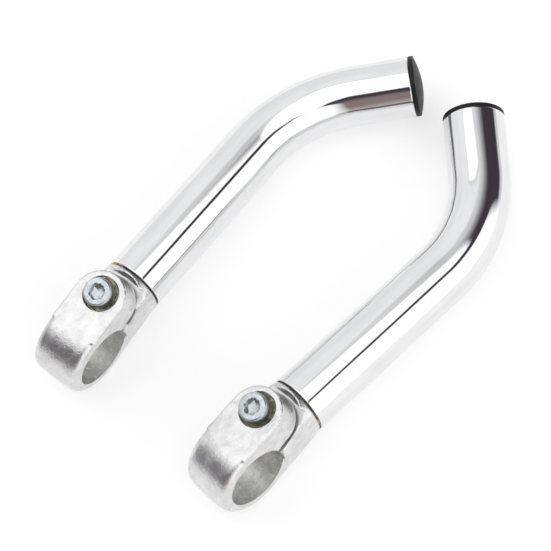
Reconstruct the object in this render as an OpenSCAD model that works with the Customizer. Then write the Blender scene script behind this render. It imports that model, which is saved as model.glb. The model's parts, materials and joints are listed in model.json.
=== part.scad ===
// A pair of bar end grips for a flat bicycle handlebar, lying side by side with their clamp bolts up.
// Each grip is drawn in its own frame: X runs from the handlebar along the tube, Y along the
// handlebar, and Z is up out of the tube on the bolt's side. The left grip's tip bends towards -Y,
// and the right grip is its mirror image.

/* [Grip tube] */
// Outside diameter of the tube
tube_d = 22.2; // [21:0.1:25.4]
// Wall of the tube
tube_wall = 1.6; // [1.2:0.1:2.2]
// Handlebar axis to the start of the bend
straight_l = 96; // [70:1:130]
// Radius of the bend's centre line
bend_r = 50.5; // [35:0.5:80]
// Angle that the tube bends through
bend_angle = 48.7; // [20:0.1:75]
// Angle that the bend's plane rises towards the bolt's side
bend_rise = 14; // [0:0.5:25]
// Straight tip after the bend
tip_l = 21.6; // [20:0.2:60]
// Extra wall in the bend, on each face; the straight lengths reach as far into the bend
bend_swell = 0.02; // [0.01:0.01:0.1]

/* [Handlebar ring] */
// Bore of the ring, for a 22.2 mm handlebar
bore_d = 22.5; // [22.2:0.1:25.6]
// Wall of the ring
ring_wall = 4.4; // [2.5:0.1:5]
// Length of the ring along the handlebar
ring_w = 19; // [17:0.2:24]
// Rounding of the ring's two outer edges
ring_round = 2.6; // [0.5:0.1:2.8]

/* [Ear] */
// Angle that the ear and its bolt lean back over the handlebar
ear_lean = 19.3; // [10:0.1:25]
// Angle that the ear's top falls towards its round end
ear_fall = 9; // [4:1:12]
// Handlebar axis to the bolt's axis
bolt_reach = 18; // [17:0.1:22]
// Bolt's axis to the ear's round end
ear_overhang = 8.3; // [7.5:0.1:11]
// Slit that the bolt closes
slit_w = 1.4; // [0.8:0.1:2.5]
// Gap between the ear's round end and the neck, at the slit
neck_gap = 0.8; // [0.5:0.1:1.5]
// Angle of the neck's wall around the ear's end, away from the bolt
neck_flare = 28; // [10:1:40]

/* [Collar and spigot] */
// Handlebar axis to the end of the collar
collar_end = 27.5; // [26.5:0.1:32]
// Step from the tube's outside down to the collar
collar_step = 0.15; // [0.05:0.05:0.5]
// Chamfer on the collar's rim
collar_chamfer = 0.4; // [0.2:0.1:0.8]
// Length of the spigot inside the tube
spigot_l = 20; // [12:1:30]
// Radial room for glue between the spigot and the tube
glue_room = 0.15; // [0.05:0.05:0.3]
// Width of the glue bead in the joint
glue_w = 0.5; // [0.3:0.1:1]
// Depth of the glue bead below the tube's outside
glue_depth = 0.35; // [0.2:0.05:0.6]

/* [Bolt and washer] */
// Thread diameter of the bolt
bolt_d = 6; // [5:1:6]
// Pitch of the thread
bolt_pitch = 1; // [0.8:0.05:1]
// Length of the bolt under its head
bolt_l = 20; // [18:1:24]
// Diameter of the bolt's head
head_d = 10; // [8.5:0.5:10.5]
// Height of the bolt's head
head_h = 6; // [5:0.5:6.5]
// Rounding of the head's rim
head_round = 0.6; // [0.2:0.1:1]
// Hexagon socket across its flats
socket_af = 5; // [4:0.5:5]
// Depth of the hexagon socket
socket_depth = 3; // [2:0.5:3.5]
// Outside diameter of the washer
washer_d = 12; // [10:0.5:12.5]
// Thickness of the washer
washer_t = 1.6; // [1:0.1:1.8]
// Height of the washer's seat above the slit's middle
seat_h = 9.9; // [8.5:0.1:11]
// Radial room around the washer in its counterbore
counterbore_room = 0.4; // [0.2:0.1:0.6]
// Radial room for the bolt in the ear
bolt_room = 0.3; // [0.2:0.05:0.5]
// Radial running clearance of the thread and of the washer
running_gap = 0.05; // [0.03:0.01:0.1]

/* [End plug] */
// Height of the plug's dome
dome_h = 2.1; // [1:0.1:3]
// Straight edge of the plug's head
plug_edge = 1.6; // [0.6:0.1:2]
// Step from the tube's outside down to the plug's head
plug_step = 0.05; // [0:0.05:0.5]
// Length of the stem inside the tube
stem_l = 15; // [10:1:18]
// Wall of the hollow stem
stem_wall = 1.4; // [1:0.1:2]
// Height of the ribs on the stem
rib_h = 0.6; // [0.3:0.1:1]
// Width of one rib
rib_w = 1.5; // [1:0.1:2]
// Number of ribs
rib_count = 3; // [2:1:4]
// Radial clearance of the ribs in the tube
rib_gap = 0.05; // [0.03:0.01:0.1]

/* [Lying pair] */
// Distance between the two rings, along the handlebar
pair_spacing = 71.8; // [66:0.2:120]
// Distance that the left grip lies further back than the right one
pair_offset = 2.4; // [0:0.2:20]
// Angle that each grip's tip turns away from the other grip
toe_out = 4; // [0:0.5:8]
// Angle that each grip rolls towards its bent tip
lie_roll = 5.4; // [0:0.1:12]
// Angle that each tube slopes down to its bend
lie_pitch = 2.82; // [0:0.02:5]

/* [Hidden] */
$fn = 96;
LEFT = 1;
RIGHT = -1;
SIDES = [["left", LEFT], ["right", RIGHT]];
PIECES = ["clamp", "tube", "glue", "washer", "bolt", "end_plug"];

ALUMINIUM = [0.82, 0.83, 0.85];
CAST_ALUMINIUM = [0.74, 0.75, 0.77];
ZINC = [0.66, 0.72, 0.78];
GLUE = [0.62, 0.54, 0.36];
BLACK = [0.05, 0.05, 0.05];

// An overlap that carries a cut clear through a face
cut = 1;
// Depth of one face below another that it would else touch or run into edge to edge
tangent_inset = 0.08;
// Step from the ring's side faces in to those of the ear and the neck
side_step = 0.1;
tube_r = tube_d / 2;
tube_bore_r = tube_r - tube_wall;
bore_r = bore_d / 2;
ring_r = bore_r + ring_wall;
ring_half = ring_w / 2;
collar_r = tube_r - collar_step;
spigot_r = tube_bore_r - glue_room;
side_half = ring_half - side_step;
ear_round_at = bolt_reach + ear_overhang - side_half;
counterbore_r = washer_d / 2 + counterbore_room;
head_r = head_d / 2;
bolt_r = bolt_d / 2;
thread_hole_r = bolt_r + running_gap;
thread_chamfer = bolt_pitch / 2;
thread_hole_depth = bolt_l - washer_t - seat_h + 2 * bolt_pitch;
plug_r = tube_r - plug_step;
dome_r = (plug_r * plug_r + dome_h * dome_h) / (2 * dome_h);
rib_r = tube_bore_r - rib_gap;
stem_r = rib_r - rib_h;

// Height of the lying ring's centre, when its rounded edge rests on the ground
lie_height = (ring_r - ring_round) * cos(lie_roll) + (ring_half - ring_round) * sin(lie_roll) + ring_round;

// A direction or an offset of the left grip's frame, as the pair lies; side mirrors it
function rolled(v, a) = [v.x, v.y * cos(a) - v.z * sin(a), v.y * sin(a) + v.z * cos(a)];
function pitched(v, a) = [v.x * cos(a) + v.z * sin(a), v.y, v.z * cos(a) - v.x * sin(a)];
function turned(v, a) = [v.x * cos(a) - v.y * sin(a), v.x * sin(a) + v.y * cos(a), v.z];
function lying(v, side) =
    turned(pitched(rolled([v.x, side * v.y, v.z], side * lie_roll), lie_pitch), side * toe_out);

// The tip's direction and the tube's end, in the left grip's frame
bend_side = [0, -cos(bend_rise), sin(bend_rise)];
tip_dir = [cos(bend_angle), 0, 0] + sin(bend_angle) * bend_side;
tube_end = [straight_l + bend_r * sin(bend_angle), 0, 0] + bend_r * (1 - cos(bend_angle)) * bend_side
    + tip_l * tip_dir;

// The pair's extent along X, from the left grip's ring to the rim of the right grip's plug
rim_dir_x = lying(tip_dir, RIGHT).x;
rim_centre_x = lying(tube_end + plug_edge * tip_dir, RIGHT).x;
front_x = pair_offset / 2 + rim_centre_x + plug_r * sqrt(1 - pow(rim_dir_x, 2));
ring_axis_x = lying([0, 1, 0], LEFT).x;
back_x = -pair_offset / 2 - (ring_r - ring_round) * sqrt(1 - pow(ring_axis_x, 2))
    - (ring_half - ring_round) * abs(ring_axis_x) - ring_round;
centre_x = (front_x + back_x) / 2;

// Lays a grip on the ground
module lay(side) {
    translate([-side * pair_offset / 2 - centre_x, side * pair_spacing / 2, lie_height])
        rotate([side * lie_roll, lie_pitch, side * toe_out])
            mirror([0, side == RIGHT ? 1 : 0, 0])
                children();
}

// The frame of the ear: Z is the bolt's axis direction and the slit lies in the XY plane
module in_ear() {
    rotate([0, -ear_lean, 0]) children();
}

// The bolt's frame: the origin is on the washer's seat and Z points out of the head
module on_seat() {
    in_ear() translate([bolt_reach, 0, seat_h]) children();
}

// The frame of the bend: the origin is where the bend starts and the tube bends towards -Y
module at_bend() {
    translate([straight_l, 0, 0]) rotate([-bend_rise, 0, 0]) children();
}

// The frame of the tube's bent tip: the origin is where the bend ends and X runs to the tip
module at_tip() {
    at_bend() translate([0, -bend_r, 0]) rotate([0, 0, -bend_angle]) translate([0, bend_r, 0]) children();
}

// A cylinder along X, with its seam on +Y, where the bend's own seam meets it
module bar(r, from, to) {
    translate([from, 0, 0]) rotate([0, 90, 0]) rotate([0, 0, 90]) cylinder(r = r, h = to - from);
}

// The ring around the handlebar, with its outer edges rounded
module ring() {
    rotate([90, 0, 0]) rotate_extrude() {
        translate([0, -ring_half]) square([ring_r - ring_round, ring_w]);
        translate([0, ring_round - ring_half]) square([ring_r, ring_w - 2 * ring_round]);
        for (edge = [-1, 1])
            translate([ring_r - ring_round, edge * (ring_half - ring_round)]) circle(r = ring_round);
    }
}

// The ear above the slit: its top leaves the ring as a tangent and falls towards the round end
module ear() {
    top_r = ring_r - tangent_inset;
    top_start = top_r * [sin(ear_fall), cos(ear_fall)];
    ear_end = ear_round_at + side_half;
    top_end_h = (top_r - ear_end * sin(ear_fall)) / cos(ear_fall);
    in_ear() intersection() {
        translate([0, side_half, 0]) rotate([90, 0, 0]) linear_extrude(2 * side_half)
            polygon([[0, 0], [ear_end, 0], [ear_end, top_end_h], top_start]);
        union() {
            translate([0, -side_half, 0]) cube([ear_round_at, 2 * side_half, ring_r]);
            translate([ear_round_at, 0, 0]) cylinder(r = side_half, h = ring_r);
        }
    }
}

// The neck from the ring to the collar: a wedge between tangents, turned to a cone along the tube
module neck() {
    collar_start = collar_end - collar_chamfer;
    corner = norm([collar_start, collar_r]);
    base_r = ring_r - tangent_inset;
    tangent_angle = acos(base_r / corner) + atan2(collar_r, collar_start);
    tangent = base_r * [cos(tangent_angle), -sin(tangent_angle)];
    ring_corner_r = norm([ring_r - ring_round, ring_half - ring_round]) + ring_round;
    intersection() {
        translate([0, side_half, 0]) rotate([90, 0, 0]) linear_extrude(2 * side_half)
            polygon([[0, 0], tangent, [collar_start, -collar_r], [collar_start, collar_r], [0, ring_r]]);
        rotate([0, 90, 0]) cylinder(r1 = ring_corner_r, r2 = collar_r, h = collar_start);
    }
}

// The collar that meets the tube, with a chamfered rim, and the spigot inside the tube
module collar() {
    bar(collar_r, bore_r, collar_end - collar_chamfer);
    translate([collar_end - collar_chamfer, 0, 0]) rotate([0, 90, 0])
        cylinder(r1 = collar_r, r2 = collar_r - collar_chamfer, h = collar_chamfer);
    bar(spigot_r, collar_end - cut, collar_end + spigot_l);
}

// The room above the slit that the ear closes into, with a flared wall around the ear's end
module ear_room() {
    room_h = 2 * ring_r;
    wall_r = ring_half + neck_gap;
    in_ear() translate([0, 0, -slit_w / 2 + tangent_inset]) {
        translate([-ring_r, -room_h, 0]) cube([ring_r + ear_round_at, 2 * room_h, room_h]);
        translate([ear_round_at, 0, 0])
            cylinder(r1 = wall_r, r2 = wall_r + room_h * tan(neck_flare), h = room_h);
    }
}

// The hole for the bolt: the washer's counterbore, the clearance through the ear and the thread below
module bolt_hole() {
    on_seat() {
        cylinder(r = counterbore_r, h = ring_r);
        translate([0, 0, -seat_h]) cylinder(r = bolt_r + bolt_room, h = seat_h + cut);
        translate([0, 0, -seat_h - thread_hole_depth])
            cylinder(r = thread_hole_r, h = thread_hole_depth + cut);
    }
}

module clamp() {
    color(CAST_ALUMINIUM) difference() {
        union() {
            ring();
            ear();
            difference() {
                union() {
                    neck();
                    collar();
                }
                ear_room();
            }
        }
        translate([0, ring_half + cut, 0]) rotate([90, 0, 0]) cylinder(r = bore_r, h = ring_w + 2 * cut);
        in_ear() translate([0, -ring_w, -slit_w / 2])
            cube([ear_round_at + side_half + neck_gap / 2, 2 * ring_w, slit_w]);
        bolt_hole();
    }
}

// A straight length of tube along X
module straight_tube(from, to) {
    difference() {
        bar(tube_r, from, to);
        bar(tube_bore_r, from - cut, to + cut);
    }
}

// The tube: a straight length, a bend and the tip, end to end
module tube() {
    color(ALUMINIUM) {
        at_bend() straight_tube(collar_end + glue_w - straight_l, bend_swell);
        at_bend() translate([0, -bend_r, 0]) rotate([0, 0, 90 - bend_angle])
            rotate_extrude(angle = bend_angle) translate([bend_r, 0]) difference() {
                circle(r = tube_r + bend_swell);
                circle(r = tube_bore_r - bend_swell);
            }
        at_tip() straight_tube(-bend_swell, tip_l);
    }
}

// The bead of glue between the collar and the tube's end
module glue() {
    color(GLUE) difference() {
        bar(tube_r - glue_depth, collar_end, collar_end + glue_w);
        bar(spigot_r, collar_end - cut, collar_end + glue_w + cut);
    }
}

module washer() {
    color(ZINC) on_seat() difference() {
        cylinder(r = washer_d / 2, h = washer_t);
        translate([0, 0, -cut]) cylinder(r = bolt_r + running_gap, h = washer_t + 2 * cut);
    }
}

// The socket-head cap screw, with its underside on the washer
module bolt() {
    color(ZINC) on_seat() translate([0, 0, washer_t]) {
        difference() {
            union() {
                cylinder(r = head_r, h = head_h - head_round);
                translate([0, 0, head_h - head_round]) rotate_extrude() intersection() {
                    union() {
                        square([head_r - head_round, head_round]);
                        translate([head_r - head_round, 0]) circle(r = head_round);
                    }
                    square([head_r, head_round]);
                }
            }
            translate([0, 0, head_h - socket_depth])
                cylinder(d = socket_af / cos(30), h = socket_depth + cut, $fn = 6);
        }
        translate([0, 0, thread_chamfer - bolt_l]) cylinder(r = bolt_r, h = bolt_l - thread_chamfer);
        translate([0, 0, -bolt_l]) cylinder(r1 = bolt_r - thread_chamfer, r2 = bolt_r, h = thread_chamfer);
    }
}

// The push-in plug: a domed head on the tube's end and a hollow ribbed stem inside it
module end_plug() {
    rib_pitch = (stem_l - rib_w) / rib_count;
    color(BLACK) at_tip() translate([tip_l, 0, 0]) rotate([0, 90, 0]) {
        cylinder(r = plug_r, h = plug_edge);
        translate([0, 0, plug_edge]) intersection() {
            translate([0, 0, dome_h - dome_r]) sphere(r = dome_r, $fn = 192);
            cylinder(r = plug_r, h = dome_h + cut);
        }
        difference() {
            union() {
                translate([0, 0, -stem_l]) cylinder(r = stem_r, h = stem_l);
                for (i = [1 : rib_count])
                    translate([0, 0, -i * rib_pitch]) cylinder(r = rib_r, h = rib_w);
            }
            translate([0, 0, -stem_l - cut]) cylinder(r = stem_r - stem_wall, h = stem_l + cut);
        }
    }
}

for (side = SIDES) {
    lay(side[1]) clamp();
    lay(side[1]) tube();
    lay(side[1]) glue();
    lay(side[1]) washer();
    lay(side[1]) bolt();
    lay(side[1]) end_plug();
}
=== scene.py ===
import json
import math

import bmesh
import bpy
from mathutils import Matrix, Vector, noise


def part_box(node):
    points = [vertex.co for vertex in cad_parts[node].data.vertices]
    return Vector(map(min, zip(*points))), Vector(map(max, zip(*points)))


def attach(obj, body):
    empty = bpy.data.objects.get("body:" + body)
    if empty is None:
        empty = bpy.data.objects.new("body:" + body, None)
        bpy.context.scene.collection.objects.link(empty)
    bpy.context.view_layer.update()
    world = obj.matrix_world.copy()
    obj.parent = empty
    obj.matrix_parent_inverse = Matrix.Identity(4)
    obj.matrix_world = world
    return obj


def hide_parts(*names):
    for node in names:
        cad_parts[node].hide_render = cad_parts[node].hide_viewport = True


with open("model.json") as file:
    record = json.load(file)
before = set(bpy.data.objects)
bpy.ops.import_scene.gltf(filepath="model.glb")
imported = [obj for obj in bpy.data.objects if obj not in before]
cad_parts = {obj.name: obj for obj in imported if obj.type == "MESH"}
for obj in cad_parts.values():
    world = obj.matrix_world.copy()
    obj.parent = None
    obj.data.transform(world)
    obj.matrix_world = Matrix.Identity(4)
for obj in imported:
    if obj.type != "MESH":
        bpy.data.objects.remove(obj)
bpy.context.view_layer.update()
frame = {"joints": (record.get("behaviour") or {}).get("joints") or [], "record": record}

RECORD = frame["record"]

# The grips' own sizes, in millimetres, as the CAD model has them
TUBE_R = 11.1
TUBE_WALL = 1.6
STRAIGHT_L = 96.0
BEND_R = 50.5
BEND_ANGLE = math.radians(48.7)
BEND_RISE = math.radians(14.0)
TIP_L = 21.6
BORE_R = 11.25
RING_R = 15.65
RING_HALF = 9.5
RING_CROWN = 0.45
CROWN_FADE = 3.5
BLANK_VOXEL = 0.32
BLANK_SMOOTHING = 16
EAR_LEAN = math.radians(19.3)
EAR_FALL = math.radians(9.0)
BOLT_REACH = 18.0
EAR_OVERHANG = 8.3
SLIT_W = 1.4
NECK_GAP = 0.8
COLLAR_END = 27.5
GLUE_W = 0.5
WASHER_R = 6.0
WASHER_T = 1.6
BOLT_R = 3.0
BOLT_PITCH = 1.0
BOLT_L = 20.0
HEAD_R = 5.0
HEAD_H = 6.0
SOCKET_AF = 5.0
SOCKET_DEPTH = 3.0
SEAT_H = 9.9
COUNTERBORE_R = 6.4
BOLT_HOLE_R = 3.3
PLUG_R = 11.05
PLUG_EDGE = 1.6
DOME_H = 2.1
STEM_L = 15.0
STEM_R = 8.85
STEM_BORE_R = 7.45
RIB_R = 9.45
RIB_W = 1.5
RIB_COUNT = 3

MM = 0.001
SIDES = {"left": 1, "right": -1}


# ---------------------------------------------------------------- frames

def record_row(rows, name):
    return next(row for row in rows if row["name"] == name)


def grip_frame(side):
    """The grip's own frame in the world: X along the tube, Y along the bore, Z up out of the tube.
    The right grip is a mirror image, so its frame is left-handed."""
    clamp = record_row(RECORD["mounts"], f"{side}_handlebar_clamp")
    travel = record_row(frame["joints"], f"{side}_bolt_travel")
    origin, along_bore = Vector(clamp["pos_m"]), Vector(clamp["axis"]).normalized()
    low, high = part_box(f"{side}_glue")
    x = (low + high) / 2 - origin
    x = (x - x.dot(along_bore) * along_bore).normalized()
    up = Vector(travel["axis"])
    z = (up - up.dot(along_bore) * along_bore - up.dot(x) * x).normalized()
    columns = Matrix((x, along_bore, z)).transposed().to_4x4()
    return Matrix.Translation(origin) @ columns @ Matrix.Scale(MM, 4)


FRAMES = {side: grip_frame(side) for side in SIDES}
IN_EAR = Matrix.Rotation(-EAR_LEAN, 4, "Y")
ON_SEAT = IN_EAR @ Matrix.Translation((BOLT_REACH, 0, SEAT_H))
AT_BEND = Matrix.Translation((STRAIGHT_L, 0, 0)) @ Matrix.Rotation(-BEND_RISE, 4, "X")
AT_TIP = (AT_BEND @ Matrix.Translation((0, -BEND_R, 0)) @ Matrix.Rotation(-BEND_ANGLE, 4, "Z")
          @ Matrix.Translation((0, BEND_R, 0)))
ALONG_X = Matrix.Rotation(math.pi / 2, 4, "Y")


# ---------------------------------------------------------------- mesh helpers

def new_object(name, bm, materials, angle=35):
    mesh = bpy.data.meshes.new(name)
    bm.to_mesh(mesh)
    bm.free()
    piece = bpy.data.objects.new(name, mesh)
    bpy.context.scene.collection.objects.link(piece)
    for material in materials:
        mesh.materials.append(material)
    mesh.shade_smooth()
    mesh.set_sharp_from_angle(angle=math.radians(angle))
    return piece


def place(bm, matrix):
    """Moves a mesh and keeps its faces pointing out when the move mirrors it."""
    bm.transform(matrix)
    if matrix.determinant() < 0:
        bmesh.ops.reverse_faces(bm, faces=bm.faces)


def circle(radius, z, steps):
    """Points round Z at one height."""
    angles = [2 * math.pi * i / steps for i in range(steps)]
    return [(radius * math.cos(a), radius * math.sin(a), z) for a in angles]


def lathe(bm, profile, matrix=Matrix.Identity(4), steps=96, material=0):
    """Turns a closed or axis-to-axis outline of (radius, height) points about Z."""
    rings = []
    for radius, height in profile:
        if radius < 1e-6:
            rings.append([bm.verts.new((0, 0, height))])
        else:
            rings.append([bm.verts.new(point) for point in circle(radius, height, steps)])
    made = [v for ring in rings for v in ring]
    closed = profile[0][0] > 1e-6
    pairs = list(zip(rings, rings[1:] + rings[:1] if closed else rings[1:]))
    for one, two in pairs:
        for i in range(steps):
            j = (i + 1) % steps
            corners = [one[0]] if len(one) == 1 else [one[i], one[j]]
            corners += [two[0]] if len(two) == 1 else [two[j], two[i]]
            if len(corners) > 2:
                bm.faces.new(corners).material_index = material
    bmesh.ops.transform(bm, matrix=matrix, verts=made)
    return made


def arc(centre, radius, start, end, steps=6):
    """Points of a round corner, angles in degrees."""
    angles = [math.radians(start + (end - start) * i / steps) for i in range(steps + 1)]
    return [(centre[0] + radius * math.cos(a), centre[1] + radius * math.sin(a)) for a in angles]


def extrude(bm, outline, depth):
    """A prism of (x, y) points, closed, from z = 0 to depth."""
    low = [bm.verts.new((x, y, 0)) for x, y in outline]
    high = [bm.verts.new((x, y, depth)) for x, y in outline]
    bm.faces.new(list(reversed(low)))
    bm.faces.new(high)
    for i in range(len(outline)):
        j = (i + 1) % len(outline)
        bm.faces.new((low[i], low[j], high[j], high[i]))
    return low + high


# ---------------------------------------------------------------- materials

def shader(name, colour, metallic, roughness, **sockets):
    material = bpy.data.materials.new(name)
    material.use_nodes = True
    surface = material.node_tree.nodes["Principled BSDF"]
    surface.inputs["Base Color"].default_value = (*colour, 1)
    surface.inputs["Metallic"].default_value = metallic
    surface.inputs["Roughness"].default_value = roughness
    for socket, value in sockets.items():
        surface.inputs[socket.replace("_", " ")].default_value = value
    return material, material.node_tree, surface


def node(tree, kind, **values):
    made = tree.nodes.new(kind)
    for key, value in values.items():
        if key in made.inputs:
            made.inputs[key].default_value = value
        else:
            setattr(made, key, value)
    return made


def object_noise(tree, scale, stretch=(1, 1, 1), detail=4.0, roughness=0.55):
    """Noise at `scale` features a millimetre, longer along an axis where stretch is small."""
    where = node(tree, "ShaderNodeTexCoord")
    size = node(tree, "ShaderNodeMapping")
    size.inputs["Scale"].default_value = [s * scale / MM for s in stretch]
    tree.links.new(where.outputs["Object"], size.inputs["Vector"])
    made = node(tree, "ShaderNodeTexNoise", Scale=1.0, Detail=detail, Roughness=roughness)
    tree.links.new(size.outputs["Vector"], made.inputs["Vector"])
    return made.outputs["Fac"]


def uv_noise(tree, along, around, detail=3.0):
    """Noise on a swept tube's own map: features a millimetre along it and around it."""
    where = node(tree, "ShaderNodeTexCoord")
    size = node(tree, "ShaderNodeMapping")
    size.inputs["Scale"].default_value = (along, around, 1)
    tree.links.new(where.outputs["UV"], size.inputs["Vector"])
    made = node(tree, "ShaderNodeTexNoise", Scale=1.0, Detail=detail)
    tree.links.new(size.outputs["Vector"], made.inputs["Vector"])
    return made.outputs["Fac"]


def spread(tree, value, low, high, from_low=0.3, from_high=0.7):
    made = node(tree, "ShaderNodeMapRange")
    limits = {"From Min": from_low, "From Max": from_high, "To Min": low, "To Max": high}
    for socket, number in limits.items():
        made.inputs[socket].default_value = number
    tree.links.new(value, made.inputs["Value"])
    return made.outputs["Result"]


def blend(tree, value, one, two, from_low=0.35, from_high=0.65):
    ramp = node(tree, "ShaderNodeValToRGB")
    ramp.color_ramp.elements[0].position, ramp.color_ramp.elements[0].color = from_low, (*one, 1)
    ramp.color_ramp.elements[1].position, ramp.color_ramp.elements[1].color = from_high, (*two, 1)
    tree.links.new(value, ramp.inputs["Fac"])
    return ramp.outputs["Color"]


def paint(tree, surface, value, one, two, **limits):
    """The base colour, from one to two as the value rises."""
    tree.links.new(blend(tree, value, one, two, **limits), surface.inputs["Base Color"])


def bump(tree, surface, height, distance_mm, strength=1.0, below=None):
    made = node(tree, "ShaderNodeBump", Strength=strength, Distance=distance_mm * MM)
    tree.links.new(height, made.inputs["Height"])
    if below is not None:
        tree.links.new(below, made.inputs["Normal"])
    tree.links.new(made.outputs["Normal"], surface.inputs["Normal"])
    return made.outputs["Normal"]


def polished_tube():
    """Buffed aluminium: nearly a mirror, slightly uneven, with faint polishing lines along it."""
    material, tree, surface = shader("polished_aluminium", (0.80, 0.805, 0.81), 1, 0.05)
    lines = uv_noise(tree, 0.05, 5.0)
    haze = uv_noise(tree, 0.05, 0.25)
    paint(tree, surface, haze, (0.77, 0.775, 0.785), (0.83, 0.832, 0.836))
    tree.links.new(spread(tree, lines, 0.035, 0.085), surface.inputs["Roughness"])
    waves = bump(tree, surface, uv_noise(tree, 0.045, 0.14, 1.5), 0.09, 0.6)
    bump(tree, surface, lines, 0.0006, 0.5, waves)
    return material


def cast_aluminium():
    """The tumbled and buffed casting: bright, with an orange-peel skin."""
    material, tree, surface = shader("cast_aluminium", (0.74, 0.74, 0.745), 1, 0.2)
    haze = object_noise(tree, 0.25)
    peel = object_noise(tree, 0.9, detail=2.0)
    grain = object_noise(tree, 2.6, detail=3.0)
    paint(tree, surface, haze, (0.60, 0.60, 0.605), (0.76, 0.76, 0.76))
    tree.links.new(spread(tree, haze, 0.20, 0.32), surface.inputs["Roughness"])
    waves = bump(tree, surface, peel, 0.12, 0.8)
    bump(tree, surface, grain, 0.085, 0.9, waves)
    return material


def sanded_face():
    """The casting's flat side faces, linished to a dull grey with fine scratches."""
    material, tree, surface = shader("sanded_aluminium", (0.72, 0.72, 0.72), 1, 0.42)
    haze = object_noise(tree, 0.3)
    grain = object_noise(tree, 5.0, stretch=(0.15, 1, 1))
    paint(tree, surface, haze, (0.66, 0.66, 0.665), (0.78, 0.78, 0.78))
    tree.links.new(spread(tree, grain, 0.34, 0.5), surface.inputs["Roughness"])
    bump(tree, surface, grain, 0.02, 0.7)
    return material


def machined_bore():
    """The turned bore: rings from the tool and a few casting pits."""
    material, tree, surface = shader("machined_aluminium", (0.74, 0.74, 0.73), 1, 0.38)
    rings = object_noise(tree, 3.0, stretch=(0.05, 1, 0.05), detail=2.0)
    blotches = object_noise(tree, 0.45, detail=5.0)
    pits = object_noise(tree, 0.8, detail=1.0)
    paint(tree, surface, blotches, (0.62, 0.62, 0.61), (0.82, 0.82, 0.81))
    tree.links.new(spread(tree, rings, 0.28, 0.48), surface.inputs["Roughness"])
    lines = bump(tree, surface, rings, 0.06, 0.9)
    bump(tree, surface, spread(tree, pits, 0, 1, 0.30, 0.38), 0.22, 0.9, lines)
    return material


def zinc_plate():
    """Bright zinc with its faint blue passivation, a little uneven."""
    material, tree, surface = shader("zinc_plate", (0.50, 0.54, 0.565), 1, 0.25)
    haze = object_noise(tree, 0.6)
    grain = object_noise(tree, 5.0)
    paint(tree, surface, haze, (0.42, 0.465, 0.495), (0.58, 0.61, 0.625))
    tree.links.new(spread(tree, grain, 0.18, 0.34), surface.inputs["Roughness"])
    bump(tree, surface, grain, 0.003, 0.5)
    return material


def painted_shade_zinc():
    """The washer at the bottom of the counterbore: zinc painted a dull dark olive, which is painted shade for
    the counterbore under the bolt head.
    """
    material, tree, surface = shader("painted_shade_zinc", (0.24, 0.23, 0.17), 1, 0.5)
    mottle = object_noise(tree, 0.7)
    grain = object_noise(tree, 3.0)
    # painted shade: the washer's mottled dark olive stands for the shade in the counterbore under the head
    paint(tree, surface, mottle, (0.13, 0.125, 0.09), (0.36, 0.35, 0.28))
    tree.links.new(spread(tree, mottle, 0.62, 0.4), surface.inputs["Roughness"])
    bump(tree, surface, grain, 0.02, 0.6)
    return material


def black_plastic():
    """Moulded black plastic with a fine satin skin."""
    material, tree, surface = shader("black_plastic", (0.008, 0.008, 0.009), 0, 0.45, Specular_IOR_Level=0.25)
    skin = object_noise(tree, 4.0)
    haze = object_noise(tree, 0.4)
    paint(tree, surface, haze, (0.006, 0.006, 0.007), (0.013, 0.013, 0.014))
    tree.links.new(spread(tree, haze, 0.38, 0.54), surface.inputs["Roughness"])
    bump(tree, surface, skin, 0.02, 0.5)
    return material


def painted_joint_shade():
    """Glue wiped back into the joint, painted near-black as painted shade for the gap between the collar and
    the tube.
    """
    material, tree, surface = shader("painted_joint_shade", (0.035, 0.03, 0.026), 0, 0.6)
    mottle = object_noise(tree, 0.9)
    # painted shade: the mottled near-black stands for the deep shade in the joint's gap
    paint(tree, surface, mottle, (0.015, 0.013, 0.012), (0.08, 0.07, 0.055))
    bump(tree, surface, object_noise(tree, 3.0), 0.05, 0.7)
    return material


def dried_glue():
    """Amber adhesive that was not wiped off and has picked up dirt."""
    material, tree, surface = shader("glue", (0.45, 0.34, 0.16), 0, 0.4)
    mottle = object_noise(tree, 0.5)
    paint(tree, surface, mottle, (0.10, 0.08, 0.05), (0.62, 0.50, 0.27), from_low=0.4, from_high=0.6)
    bump(tree, surface, object_noise(tree, 2.5), 0.1, 0.8)
    return material


TUBE_METAL = polished_tube()
CAST_METAL = cast_aluminium()
SANDED_METAL = sanded_face()
BORE_METAL = machined_bore()
ZINC = zinc_plate()
PAINTED_SHADE_ZINC = painted_shade_zinc()
PLASTIC = black_plastic()
GLUE = dried_glue()
PAINTED_JOINT_SHADE = painted_joint_shade()


# ---------------------------------------------------------------- pieces

def tube_line(distance):
    """The frame of the tube's centre line at a distance from the handlebar's axis."""
    bend_l = BEND_R * BEND_ANGLE
    if distance <= STRAIGHT_L:
        return AT_BEND @ Matrix.Translation((distance - STRAIGHT_L, 0, 0))
    if distance >= STRAIGHT_L + bend_l:
        return AT_TIP @ Matrix.Translation((distance - STRAIGHT_L - bend_l, 0, 0))
    turned = (distance - STRAIGHT_L) / BEND_R
    return (AT_BEND @ Matrix.Translation((0, -BEND_R, 0)) @ Matrix.Rotation(-turned, 4, "Z")
            @ Matrix.Translation((0, BEND_R, 0)))


def bend_share(distance):
    """0 on the straights and 1 well inside the bend."""
    bend_l = BEND_R * BEND_ANGLE
    inside = min(distance - STRAIGHT_L, STRAIGHT_L + bend_l - distance) / (0.3 * bend_l)
    inside = min(max(inside, 0), 1)
    return inside * inside * (3 - 2 * inside)


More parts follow.
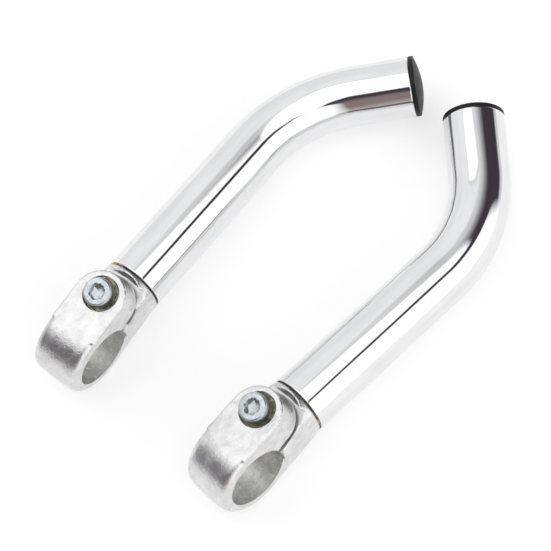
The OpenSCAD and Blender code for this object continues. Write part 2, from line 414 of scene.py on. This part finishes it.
def tube(side):
    """The bent tube. Bending has flattened it a little and left faint ripples on the inside of the bend."""
    start, end = COLLAR_END + GLUE_W, STRAIGHT_L + BEND_R * BEND_ANGLE + TIP_L
    rounding, around, stations = 0.25, 160, 240
    outside = [(start + (end - start) * i / stations, 0.0) for i in range(1, stations)]
    near = [(start + rounding - rounding * math.cos(a), rounding - rounding * math.sin(a))
            for a in (math.pi / 2 * i / 3 for i in range(4))]
    far = [(end - (near_x - start), drop) for near_x, drop in reversed(near)]
    wall = [(x, drop) for x, drop in near + outside + far if start <= x <= end]
    wall.sort(key=lambda point: point[0])
    inner = [(end, TUBE_WALL), (STRAIGHT_L + BEND_R * BEND_ANGLE, TUBE_WALL)]
    inner += [(STRAIGHT_L + BEND_R * BEND_ANGLE * (1 - i / 12), TUBE_WALL) for i in range(1, 13)]
    inner += [(start, TUBE_WALL)]
    bm = bmesh.new()
    layer = bm.loops.layers.uv.new("UVMap")
    rings = []
    for x, drop in wall + inner:
        line, share = tube_line(x), bend_share(x)
        ring = []
        for i in range(around):
            a = 2 * math.pi * i / around
            inward = max(-math.cos(a), 0.0)
            radius = TUBE_R - drop
            if drop < TUBE_WALL:
                ripple = noise.noise(Vector((x * 0.16, a * 1.3, 3.0 * SIDES[side])))
                radius += share * (0.10 * math.cos(2 * a + math.pi) + 0.10 * inward * ripple)
            ring.append(bm.verts.new(line @ Vector((0, radius * math.cos(a), radius * math.sin(a)))))
        rings.append((x, ring))
    for (x0, one), (x1, two) in zip(rings, rings[1:] + rings[:1]):
        for i in range(around):
            j = (i + 1) % around
            face = bm.faces.new((one[i], two[i], two[j], one[j]))
            turn = TUBE_R * 2 * math.pi / around
            for loop, where in zip(face.loops, ((x0, i), (x1, i), (x1, i + 1), (x0, i + 1))):
                loop[layer].uv = (where[0], where[1] * turn)
    bmesh.ops.recalc_face_normals(bm, faces=bm.faces)
    bm.transform(FRAMES[side])
    bmesh.ops.recalc_face_normals(bm, faces=bm.faces)
    return new_object(f"{side}_tube_polished", bm, [TUBE_METAL], 50)


def ear_top(x):
    """Height of the ear's top above the slit, in the ear's frame."""
    return (RING_R - x * math.sin(EAR_FALL)) / math.cos(EAR_FALL)


def casting_fillers():
    """What the machining took away, put back: the bore, the slit and the bolt's counterbore."""
    bm = bmesh.new()
    to_y = Matrix.Rotation(math.pi / 2, 4, "X")
    lathe(bm, [(0, -RING_HALF), (BORE_R + 1, -RING_HALF), (BORE_R + 1, RING_HALF), (0, RING_HALF)], to_y)
    ear_r = RING_HALF - 0.1
    round_at = BOLT_REACH + EAR_OVERHANG - ear_r
    outline = [(0, -ear_r)] + arc((round_at, 0), ear_r, -90, 90, 32) + [(0, ear_r)]
    slab = extrude(bm, outline, 2 * SLIT_W)
    bmesh.ops.transform(bm, matrix=IN_EAR @ Matrix.Translation((0, 0, -SLIT_W)), verts=slab)
    plug = lathe(bm, [(0, 0), (COUNTERBORE_R + 0.6, 0), (COUNTERBORE_R + 0.6, 1), (0, 1)])
    for v in plug:
        x = v.co.x + BOLT_REACH
        v.co = (x, v.co.y, ear_top(x) - 0.02 if v.co.z > 0.5 else -SEAT_H)
    bmesh.ops.transform(bm, matrix=IN_EAR, verts=plug)
    return bm


def cutter(name, build):
    bm = bmesh.new()
    build(bm)
    bmesh.ops.recalc_face_normals(bm, faces=bm.faces)
    return new_object(name, bm, [], 30)


def apply_modifiers(piece):
    """Replaces the piece's mesh by what its modifiers make of it."""
    graph = bpy.context.evaluated_depsgraph_get()
    made = bpy.data.meshes.new_from_object(piece.evaluated_get(graph))
    piece.modifiers.clear()
    piece.data = made


def cast_blank():
    """The casting before machining, in the left grip's frame, with every edge run together as cast."""
    source = bpy.data.objects["left_clamp"].data
    bm = bmesh.new()
    bm.from_mesh(source)
    bm.transform(FRAMES["left"].inverted())
    bmesh.ops.remove_doubles(bm, verts=bm.verts, dist=0.0005)
    fillers = casting_fillers()
    bmesh.ops.recalc_face_normals(fillers, faces=fillers.faces)
    extra = bpy.data.meshes.new("fillers")
    fillers.to_mesh(extra)
    fillers.free()
    bm.from_mesh(extra)
    blank = new_object("cast_blank", bm, [], 180)
    remesh = blank.modifiers.new("remesh", "REMESH")
    remesh.mode, remesh.voxel_size = "VOXEL", BLANK_VOXEL
    apply_modifiers(blank)
    soft = blank.vertex_groups.new(name="soft")
    for v in blank.data.vertices:
        share = 1 - 0.9 * min(max((v.co.x - COLLAR_END + 3.5) / 2.5, 0), 1)
        soft.add([v.index], share, "REPLACE")
    smooth = blank.modifiers.new("smooth", "SMOOTH")
    smooth.factor, smooth.iterations, smooth.vertex_group = 0.5, BLANK_SMOOTHING, "soft"
    apply_modifiers(blank)
    for v in blank.data.vertices:
        from_bore = math.hypot(v.co.x, v.co.z)
        if BORE_R + 2 < from_bore < RING_R + CROWN_FADE:
            share = min((from_bore - BORE_R - 2) / (RING_R - BORE_R - 2),
                        (RING_R + CROWN_FADE - from_bore) / CROWN_FADE)
            drop = RING_CROWN * share * (v.co.y / RING_HALF) ** 2
            v.co.x, v.co.z = v.co.x * (1 - drop / from_bore), v.co.z * (1 - drop / from_bore)
    return blank


def cut(piece, tool):
    boolean = piece.modifiers.new("cut", "BOOLEAN")
    boolean.operation, boolean.solver, boolean.object = "DIFFERENCE", "EXACT", tool
    apply_modifiers(piece)
    bpy.data.objects.remove(tool)


def bore_cutter(bm):
    to_y = Matrix.Rotation(math.pi / 2, 4, "X")
    lathe(bm, [(0, -2 * RING_HALF), (BORE_R, -2 * RING_HALF), (BORE_R, 2 * RING_HALF), (0, 2 * RING_HALF)],
          to_y, 160)


def slit_cutter(bm):
    length = BOLT_REACH + EAR_OVERHANG + NECK_GAP / 2
    wide = 2 * RING_HALF
    slab = extrude(bm, [(0, -wide), (length, -wide), (length, wide), (0, wide)], SLIT_W)
    bmesh.ops.transform(bm, matrix=IN_EAR @ Matrix.Translation((0, 0, -SLIT_W / 2)), verts=slab)


def bolt_cutter(bm):
    deep = BOLT_L - WASHER_T + 2 * BOLT_PITCH
    thread_r = BOLT_R + 0.05
    outline = [(0, -deep), (thread_r, -deep), (thread_r, -SEAT_H), (BOLT_HOLE_R, -SEAT_H), (BOLT_HOLE_R, 0),
               (COUNTERBORE_R, 0), (COUNTERBORE_R, RING_R), (0, RING_R)]
    lathe(bm, outline, ON_SEAT, 96)


def clamp(side, casting):
    """One clamp: the machined casting, with its faces sorted by how they were finished."""
    bm = bmesh.new()
    bm.from_mesh(casting.data)
    ear_frame = IN_EAR.inverted()
    for face in bm.faces:
        where, facing = face.calc_center_median(), face.normal
        from_bore = math.hypot(where.x, where.z)
        in_ear = ear_frame @ where
        from_bolt = math.hypot(in_ear.x - BOLT_REACH, in_ear.y)
        if abs(from_bore - BORE_R) < 0.05 and abs(facing.y) < 0.3:
            face.material_index = 2
        elif from_bolt < COUNTERBORE_R + 0.03 and in_ear.z < ear_top(in_ear.x) - 0.3:
            face.material_index = 1
        elif abs(facing.y) > 0.97 and abs(where.y) > RING_HALF - 0.25:
            face.material_index = 1
        elif abs(in_ear.z) < SLIT_W / 2 + 0.02 and in_ear.x > BORE_R:
            face.material_index = 1
        else:
            face.material_index = 0
    place(bm, FRAMES[side])
    return new_object(f"{side}_clamp_casting", bm, [CAST_METAL, SANDED_METAL, BORE_METAL], 40)


def glue(side):
    """The bead squeezed out of the joint, thicker at one place where it was not wiped off; its thin parts are
    painted black as painted shade for the gap.
    """
    steps, ring = 160, 10
    blob_at = math.radians(48 if side == "left" else 15)
    bm = bmesh.new()
    rows = []
    for i in range(steps):
        a = 2 * math.pi * i / steps
        off = abs((a - blob_at + math.pi) % (2 * math.pi) - math.pi)
        blob = math.exp(-(off / 0.35) ** 2)
        lump = noise.noise(Vector((4 * math.cos(a), 4 * math.sin(a), 2.0 * SIDES[side])))
        proud = TUBE_R - 0.42 + 0.07 * lump + 0.34 * blob
        half = GLUE_W / 2 + 0.14 * blob + 0.02
        row = []
        for j in range(ring):
            b = 2 * math.pi * j / ring
            radius = proud - 0.35 + 0.35 * math.cos(b)
            row.append(bm.verts.new((COLLAR_END + GLUE_W / 2 + half * math.sin(b),
                                     radius * math.cos(a), radius * math.sin(a))))
        rows.append((row, int(blob < 0.35)))
    # the thin, wiped-back parts of the bead take the black painted shade of the gap; the thick lump keeps the
    # amber glue colour
    for (one, wiped_and_shaded), (two, _) in zip(rows, rows[1:] + rows[:1]):
        for j in range(ring):
            k = (j + 1) % ring
            bm.faces.new((one[j], two[j], two[k], one[k])).material_index = wiped_and_shaded
    bm.transform(FRAMES[side])
    bmesh.ops.recalc_face_normals(bm, faces=bm.faces)
    return new_object(f"{side}_glue_bead", bm, [GLUE, PAINTED_JOINT_SHADE], 60)


def washer(side):
    """The washer, a hair thinner than its space so that it shares no face with the head or the seat."""
    bm = bmesh.new()
    bevel, air = 0.15, 0.02
    low, top = air, WASHER_T - air
    inner = BOLT_R + 0.08
    outline = (arc((WASHER_R - bevel, low + bevel), bevel, -90, 0, 3)
               + arc((WASHER_R - bevel, top - bevel), bevel, 0, 90, 3)
               + [(inner + bevel, top), (inner, top - bevel), (inner, low + bevel), (inner + bevel, low)])
    lathe(bm, outline, FRAMES[side] @ ON_SEAT)
    bmesh.ops.recalc_face_normals(bm, faces=bm.faces)
    # the washer's colour is painted shade, the dark of the counterbore under the head
    return new_object(f"{side}_washer_plated", bm, [PAINTED_SHADE_ZINC], 50)


def bolt_head(bm, matrix):
    """The head: a rounded rim, and a hexagon socket with a chamfered mouth."""
    rim, foot, mouth = 0.7, 0.2, 0.25
    corner = SOCKET_AF / 2 / math.cos(math.radians(30))
    steps = 96
    outline = ([(BOLT_R, 0), (HEAD_R - foot, 0)] + arc((HEAD_R - foot, foot), foot, -90, 0, 3)
               + arc((HEAD_R - rim, HEAD_H - rim), rim, 0, 90, 8) + [(corner + mouth + 0.05, HEAD_H)])
    rows = [circle(r, z, steps) for r, z in outline]

    def hexagon(grow, z):
        points = []
        for i in range(steps):
            a = 2 * math.pi * i / steps
            within = (a + math.pi / 6) % (math.pi / 3) - math.pi / 6
            flat = min(SOCKET_AF / 2 / math.cos(math.pi / 6 - abs(within)), corner)
            r = max(flat + grow, corner if grow > 0 else 0)
            points.append((r * math.cos(a), r * math.sin(a), z))
        return points

    rows += [hexagon(mouth, HEAD_H), hexagon(0, HEAD_H - mouth), hexagon(0, HEAD_H - SOCKET_DEPTH)]
    rings = [[bm.verts.new(p) for p in row] for row in rows]
    drill = bm.verts.new((0, 0, HEAD_H - SOCKET_DEPTH - 0.9))
    for one, two in zip(rings, rings[1:]):
        for i in range(steps):
            j = (i + 1) % steps
            bm.faces.new((one[i], one[j], two[j], two[i]))
    for i in range(steps):
        bm.faces.new((rings[-1][i], rings[-1][(i + 1) % steps], drill))
    made = [v for ring in rings for v in ring] + [drill]
    bmesh.ops.transform(bm, matrix=matrix, verts=made)
    return rings[0]


def bolt_thread(bm, matrix):
    """The shank with its helical thread, as one closed strip of turns."""
    steps, depth = 32, 0.55 * BOLT_PITCH
    plain = 1.5
    rows = int((BOLT_L - plain) / BOLT_PITCH * 8)
    rings = []
    for k in range(rows + 1):
        z = -plain - (BOLT_L - plain - 0.3) * k / rows
        ring = []
        for i in range(steps):
            a = 2 * math.pi * i / steps
            phase = (z / BOLT_PITCH - a / (2 * math.pi)) % 1
            cut_in = min(max(1 - abs(phase - 0.5) * 2 * 1.15, 0), 1)
            fade = min(max((-plain - z) / 0.8, 0), 1) * 1.0
            taper = max(0.5 - (z + BOLT_L), 0)
            r = BOLT_R - depth * cut_in * fade - taper
            ring.append(bm.verts.new((r * math.cos(a), r * math.sin(a), z)))
        rings.append(ring)
    rings.insert(0, [bm.verts.new(point) for point in circle(BOLT_R, 0, steps)])
    for one, two in zip(rings, rings[1:]):
        for i in range(steps):
            j = (i + 1) % steps
            bm.faces.new((one[i], two[i], two[j], one[j]))
    bm.faces.new(rings[-1])
    bm.faces.new(list(reversed(rings[0])))
    bmesh.ops.transform(bm, matrix=matrix, verts=[v for ring in rings for v in ring])


def bolt(side):
    bm = bmesh.new()
    under_head = ON_SEAT @ Matrix.Translation((0, 0, WASHER_T)) @ Matrix.Rotation(math.radians(12), 4, "Z")
    foot = bolt_head(bm, under_head)
    bm.faces.new(list(reversed(foot)))
    bolt_thread(bm, under_head)
    bmesh.ops.recalc_face_normals(bm, faces=bm.faces)
    bm.transform(FRAMES[side])
    bmesh.ops.recalc_face_normals(bm, faces=bm.faces)
    return new_object(f"{side}_bolt_plated", bm, [ZINC], 35)


def end_plug(side):
    """The push-in plug: a domed head with a softened rim and a ribbed hollow stem."""
    rim = 0.35
    dome_r = (PLUG_R ** 2 + DOME_H ** 2) / (2 * DOME_H)
    dome = [(r, PLUG_EDGE + DOME_H - dome_r + math.sqrt(dome_r ** 2 - r ** 2))
            for r in ((PLUG_R - rim) * i / 24 for i in range(25))]
    rim_start = math.degrees(math.asin((PLUG_R - rim) / dome_r))
    outline = dome + arc((PLUG_R - rim, dome[-1][1] - rim), rim, 90 - rim_start, 0, 5)
    outline += arc((PLUG_R - 0.15, 0.15), 0.15, 0, -90, 3)
    rib_pitch = (STEM_L - RIB_W) / RIB_COUNT
    outline.append((STEM_R, 0))
    for i in range(1, RIB_COUNT + 1):
        top = -i * rib_pitch + RIB_W
        outline += [(STEM_R, top), (RIB_R, top - 0.2), (RIB_R, top - RIB_W + 0.5), (STEM_R, top - RIB_W)]
    outline += [(STEM_R, -STEM_L), (STEM_BORE_R, -STEM_L), (STEM_BORE_R, 0), (0, 0)]
    bm = bmesh.new()
    tip = AT_TIP @ Matrix.Translation((TIP_L, 0, 0)) @ ALONG_X
    lathe(bm, outline, tip, 128)
    bm.transform(FRAMES[side])
    bmesh.ops.remove_doubles(bm, verts=bm.verts, dist=1e-7)
    bmesh.ops.recalc_face_normals(bm, faces=bm.faces)
    return new_object(f"{side}_end_plug_moulded", bm, [PLASTIC], 40)


def stand_in(piece, body, cad_node):
    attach(piece, body)
    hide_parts(cad_node)


casting = cast_blank()
cut(casting, cutter("bore_cutter", bore_cutter))
cut(casting, cutter("slit_cutter", slit_cutter))
cut(casting, cutter("bolt_cutter", bolt_cutter))
for side in SIDES:
    stand_in(clamp(side, casting), f"{side}_grip", f"{side}_clamp")
    stand_in(tube(side), f"{side}_grip", f"{side}_tube")
    stand_in(glue(side), f"{side}_grip", f"{side}_glue")
    stand_in(washer(side), f"{side}_washer", f"{side}_washer")
    stand_in(bolt(side), f"{side}_bolt", f"{side}_bolt")
    stand_in(end_plug(side), f"{side}_end_plug", f"{side}_end_plug")
bpy.data.objects.remove(casting)


# ---------------------------------------------------------------- floor, light and camera

FLOOR_SIZE = 6.0
floor_mesh = bmesh.new()
bmesh.ops.create_grid(floor_mesh, x_segments=1, y_segments=1, size=FLOOR_SIZE / 2)
floor_surface, _, _ = shader("pale_floor", (0.62, 0.62, 0.62), 0, 0.7, Specular_IOR_Level=0.1,
                               Emission_Color=(1, 1, 1, 1), Emission_Strength=0.52)
floor = new_object("floor", floor_mesh, [floor_surface])
floor.location.z = -0.0002

# The studio as seen from the object: soft panels in a dark room. Sizes and offsets are tangents.
SKY_PANELS = [
    # name, direction faced, sideways direction,
    #     half sizes, offset, softness both ways, brightness
    ("far_wall", (0, 1, 0), (-1, 0, 0),
     (1.5, 3.4), (0.0, 2.6), (0.5, 0.5), (0.92, 0.92, 0.93)),
    ("ceiling", (0, 0, 1), (1, 0, 0),
     (0.80, 1.3), (0.0, 0.95), (0.55, 0.45), (1.00, 1.00, 1.01)),
    ("left_wall", (-0.85, 0.38, 0.37), (0.41, 0.91, 0),
     (0.90, 0.70), (0.0, 0.0), (0.6, 0.5), (0.21, 0.20, 0.21)),
    ("brown_upper", (-1, -0.7, 0.2), (0.573, -0.82, 0),
     (0.90, 0.75), (0.0, 0.1), (0.5, 0.3), (0.27, 0.21, 0.21)),
    ("brown_lower", (-1, -0.7, 0.0), (0.573, -0.82, 0),
     (0.90, 0.48), (0.0, -0.1), (0.5, 0.45), (0.62, 0.56, 0.55)),
    ("right_low", (1, -0.3, 0), (0.287, 0.958, 0),
     (0.90, 0.40), (0.0, -0.16), (0.5, 0.12), (0.72, 0.72, 0.73)),
    ("overhead_frame", (0, 0, 1), (0.934, 0.358, 0),
     (0.52, 0.84), (-0.115, 0.12), (0.03, 0.03), (0.74, 0.73, 0.74)),
    ("overhead", (0, 0, 1), (0.934, 0.358, 0),
     (0.485, 0.85), (-0.115, 0.10), (0.04, 0.10), (1.45, 1.45, 1.45)),
    ("near_side", (0, -1, 0), (1, 0, 0),
     (1.3, 0.70), (0.20, 0.57), (0.35, 0.12), (1.40, 1.40, 1.41)),
]
ROOM = (0.055, 0.047, 0.057)


def sky_maths(tree, operation, one, two=None):
    made = node(tree, "ShaderNodeMath", operation=operation)
    for index, value in enumerate((one, two)):
        if value is None:
            continue
        if isinstance(value, (int, float)):
            made.inputs[index].default_value = value
        else:
            tree.links.new(value, made.inputs[index])
    return made.outputs[0]


def sky_along(tree, direction, axis):
    made = node(tree, "ShaderNodeVectorMath", operation="DOT_PRODUCT")
    made.inputs[1].default_value = axis
    tree.links.new(direction, made.inputs[0])
    return made.outputs["Value"]


def studio():
    """The world's light: each panel is a soft-edged rectangle in the direction that it faces."""
    world = bpy.data.worlds.new("studio")
    bpy.context.scene.world = world
    world.use_nodes = True
    tree = world.node_tree
    tree.nodes.clear()
    direction = node(tree, "ShaderNodeTexCoord").outputs["Generated"]
    colour = node(tree, "ShaderNodeRGB").outputs[0]
    colour.default_value = (*ROOM, 1)
    for _, facing, sideways, half, offset, softness, brightness in SKY_PANELS:
        facing, sideways = Vector(facing).normalized(), Vector(sideways).normalized()
        upward = facing.cross(sideways)
        ahead = sky_along(tree, direction, facing)
        inside = node(tree, "ShaderNodeMath", operation="GREATER_THAN")
        inside.inputs[1].default_value = 0.02
        tree.links.new(ahead, inside.inputs[0])
        share = inside.outputs[0]
        for axis, size, middle, soft in zip((sideways, upward), half, offset, softness):
            at = sky_maths(tree, "DIVIDE", sky_along(tree, direction, axis), ahead)
            away = sky_maths(tree, "ABSOLUTE", sky_maths(tree, "SUBTRACT", at, middle))
            edge = sky_maths(tree, "DIVIDE", sky_maths(tree, "SUBTRACT", size, away), soft)
            edge_node = node(tree, "ShaderNodeClamp")
            tree.links.new(edge, edge_node.inputs["Value"])
            share = sky_maths(tree, "MULTIPLY", share, edge_node.outputs[0])
        mix = node(tree, "ShaderNodeMix", data_type="RGBA")
        tree.links.new(share, mix.inputs["Factor"])
        tree.links.new(colour, mix.inputs[6])
        mix.inputs[7].default_value = (*brightness, 1)
        colour = mix.outputs[2]
    light = node(tree, "ShaderNodeBackground", Strength=1.0)
    tree.links.new(colour, light.inputs["Color"])
    backdrop = node(tree, "ShaderNodeBackground", Color=(0.93, 0.93, 0.93, 1), Strength=1.0)
    seen = node(tree, "ShaderNodeLightPath").outputs["Is Camera Ray"]
    pick = node(tree, "ShaderNodeMixShader")
    tree.links.new(seen, pick.inputs[0])
    tree.links.new(light.outputs[0], pick.inputs[1])
    tree.links.new(backdrop.outputs[0], pick.inputs[2])
    out = node(tree, "ShaderNodeOutputWorld")
    tree.links.new(pick.outputs[0], out.inputs["Surface"])


studio()

CAMERA_AZIMUTH = math.radians(-124.09)
CAMERA_ELEVATION = math.radians(62.53)
CAMERA_ROLL = math.radians(15.58)
CAMERA_DISTANCE = 0.6426
CAMERA_AIM = Vector((-0.0115, 0.0004, 0.016))
CAMERA_LENS = 120.8

back = Vector((math.cos(CAMERA_ELEVATION) * math.cos(CAMERA_AZIMUTH),
               math.cos(CAMERA_ELEVATION) * math.sin(CAMERA_AZIMUTH), math.sin(CAMERA_ELEVATION)))
camera_data = bpy.data.cameras.new("camera")
camera_data.lens, camera_data.sensor_width = CAMERA_LENS, 36.0
camera_data.clip_start, camera_data.clip_end = 0.01, 20.0
camera = bpy.data.objects.new("camera", camera_data)
bpy.context.scene.collection.objects.link(camera)
turn = back.to_track_quat("Z", "Y").to_matrix().to_4x4() @ Matrix.Rotation(-CAMERA_ROLL, 4, "Z")
camera.matrix_world = Matrix.Translation(CAMERA_AIM + CAMERA_DISTANCE * back) @ turn
bpy.context.scene.camera = camera
bpy.context.scene.view_settings.view_transform = "Standard"
